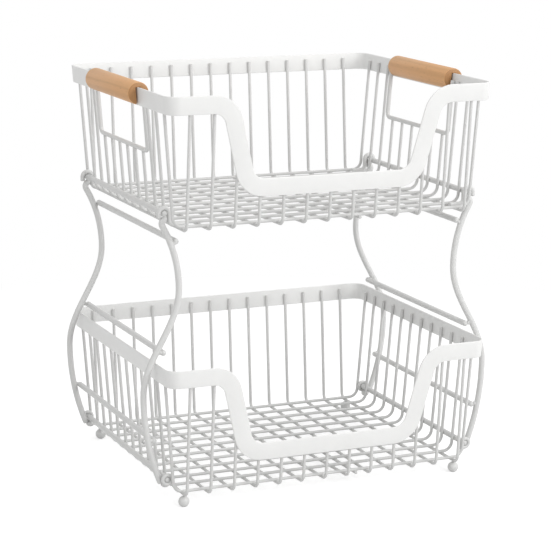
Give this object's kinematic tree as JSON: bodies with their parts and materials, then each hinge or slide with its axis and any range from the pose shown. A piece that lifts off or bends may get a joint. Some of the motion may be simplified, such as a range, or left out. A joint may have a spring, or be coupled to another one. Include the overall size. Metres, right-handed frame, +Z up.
{
  "type": "fruit basket stand",
  "caption": "Two-tier wire fruit basket stand with banded rims, dipped fronts, bent side frames and wooden grips on the lift-off upper basket.",
  "frame": {"origin": "on the table, under the middle of the stand's box", "axes": "+Z up, +X to the right as seen from the dipped front, which faces -Y"},
  "size_m": [0.3808, 0.2982, 0.4129],
  "materials": {
    "powder_coat": "satin white powder coat",
    "beech": "smooth oiled beech"
  },
  "bodies": {
    "stand": {"eye_left_back": "powder_coat", "eye_left_front": "powder_coat", "eye_right_back": "powder_coat", "eye_right_front": "powder_coat", "foot_left_back": "powder_coat", "foot_left_front": "powder_coat", "foot_right_back": "powder_coat", "foot_right_front": "powder_coat", "left_back_leg": "powder_coat", "left_belly_bar": "powder_coat", "left_bottom_bar": "powder_coat", "left_front_leg": "powder_coat", "left_neck_bar": "powder_coat", "left_rim_bar": "powder_coat", "left_top_bar": "powder_coat", "lower_rim": "powder_coat", "lower_wire_grid": "powder_coat", "right_back_leg": "powder_coat", "right_belly_bar": "powder_coat", "right_bottom_bar": "powder_coat", "right_front_leg": "powder_coat", "right_neck_bar": "powder_coat", "right_rim_bar": "powder_coat", "right_top_bar": "powder_coat", "tip_left_back": "powder_coat", "tip_left_front": "powder_coat", "tip_right_back": "powder_coat", "tip_right_front": "powder_coat"},
    "upper_basket": {"hook_left_back": "powder_coat", "hook_left_front": "powder_coat", "hook_right_back": "powder_coat", "hook_right_front": "powder_coat", "left_grip": "beech", "left_hand_frame": "powder_coat", "right_grip": "beech", "right_hand_frame": "powder_coat", "upper_rim": "powder_coat", "upper_wire_grid": "powder_coat"}
  },
  "joints": [
    {"name": "upper_basket_lift", "type": "slide", "parent": "stand", "child": "upper_basket", "axis": [0, 0, 1], "range_m": [0, 0.12]}
  ]
}
